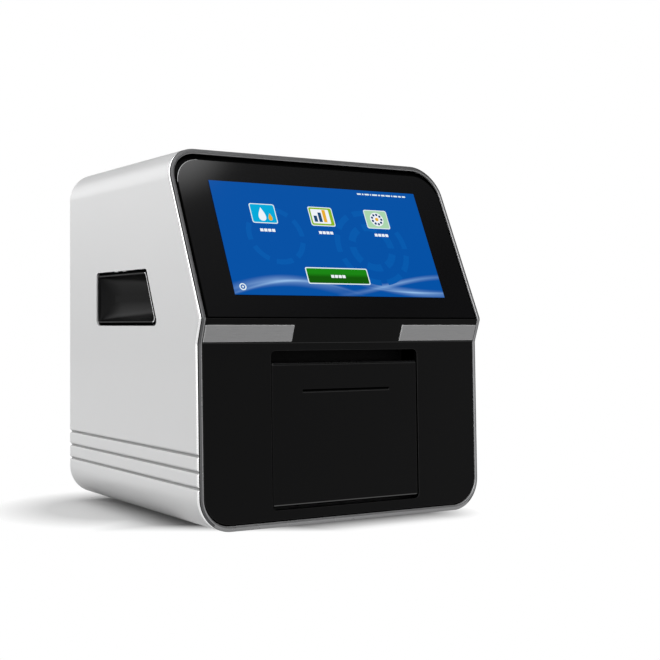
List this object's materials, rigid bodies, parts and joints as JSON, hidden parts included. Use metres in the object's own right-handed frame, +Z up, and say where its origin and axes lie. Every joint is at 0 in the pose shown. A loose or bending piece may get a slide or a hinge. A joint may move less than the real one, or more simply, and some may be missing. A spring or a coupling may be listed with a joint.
{
  "type": "dry chemistry analyzer",
  "caption": "Bench-top chemistry analyzer with a slanted touch screen and a motor-driven drawer whose turntable spins a reagent disc.",
  "frame": {"origin": "middle of the bounding box on the ground, under the four feet", "axes": "+Z up, the screen and drawer face -Y, +X to the right as seen from the front"},
  "size_m": [0.2, 0.208, 0.2291],
  "materials": {
    "silver_paint": "satin silver-white paint",
    "grey_metal": "satin grey metal",
    "brushed_grey": "brushed",
    "satin_black": "satin",
    "gloss_black": "gloss",
    "gloss_black_glass": "gloss, black printed back",
    "screen_glass": "lit display",
    "panel_metal": "grey painted sheet",
    "zinc_steel": "zinc plated",
    "aluminium": "machined",
    "dark_plastic": "matt",
    "white_plastic": "natural acetal",
    "board_green": "solder mask",
    "black_rubber": "matt",
    "lens_glass": "polished"
  },
  "bodies": {
    "housing": {"housing_shell": "silver_paint", "front_trim": "grey_metal", "front_fascia": "satin_black", "touch_glass": "gloss_black_glass", "accent_bar_left": "brushed_grey", "accent_bar_right": "brushed_grey", "side_handle_left": "gloss_black", "side_handle_right": "gloss_black", "rear_panel": "panel_metal", "rear_screw_1": "zinc_steel", "rear_screw_2": "zinc_steel", "rear_screw_3": "zinc_steel", "rear_screw_4": "zinc_steel", "foot_front_left": "black_rubber", "foot_front_right": "black_rubber", "foot_rear_left": "black_rubber", "foot_rear_right": "black_rubber", "base_plate": "zinc_steel", "lcd_panel": "screen_glass", "display_bracket": "zinc_steel", "main_board": "board_green", "processor_heatsink": "aluminium", "drawer_cradle": "zinc_steel", "guide_rail_left": "zinc_steel", "guide_rail_right": "zinc_steel", "drawer_motor": "zinc_steel", "optics_bridge": "zinc_steel", "heating_plate": "aluminium", "light_shield": "satin_black", "optical_block": "aluminium", "lens_barrel": "lens_glass", "flash_lamp": "dark_plastic", "detector_block": "aluminium", "detector_board": "board_green", "code_reader": "dark_plastic", "power_supply": "aluminium", "power_inlet": "dark_plastic", "fan_frame": "dark_plastic", "network_port": "zinc_steel", "usb_port_left": "zinc_steel", "usb_port_right": "zinc_steel", "port_board": "board_green", "loudspeaker": "dark_plastic"},
    "drawer": {"drawer_front": "satin_black", "drawer_tray": "dark_plastic", "runner_left": "zinc_steel", "runner_right": "zinc_steel", "drawer_rack": "white_plastic", "spin_motor": "zinc_steel"},
    "turntable": {"turntable": "aluminium", "disc_hub": "dark_plastic", "spindle_shaft": "zinc_steel"},
    "pinion": {"drawer_pinion": "white_plastic", "pinion_shaft": "zinc_steel"},
    "fan": {"fan_rotor": "dark_plastic"},
    "switch": {"power_switch": "dark_plastic"}
  },
  "joints": [
    {"name": "drawer_slide", "type": "slide", "parent": "housing", "child": "drawer", "axis": [0, -1, 0], "range_m": [0, 0.105]},
    {"name": "turntable_spin", "type": "hinge", "parent": "drawer", "child": "turntable", "pos_m": [0, -0.04817, 0.0536], "axis": [0, 0, 1], "continuous": true},
    {"name": "pinion_spin", "type": "hinge", "parent": "housing", "child": "pinion", "pos_m": [-0.045, -0.0752, 0.03905], "axis": [1, 0, 0], "range_deg": [0, 860]},
    {"name": "fan_spin", "type": "hinge", "parent": "housing", "child": "fan", "pos_m": [0.045, 0.09225, 0.17], "axis": [0, 1, 0], "continuous": true},
    {"name": "power_switch_rock", "type": "hinge", "parent": "housing", "child": "switch", "pos_m": [-0.055, 0.0989, 0.0655], "axis": [0, 0, 1], "range_deg": [-16, 0]}
  ],
  "couplings": [
    {"joint": "pinion_spin", "follows": "drawer_slide", "rad_per_m": 142.86}
  ]
}
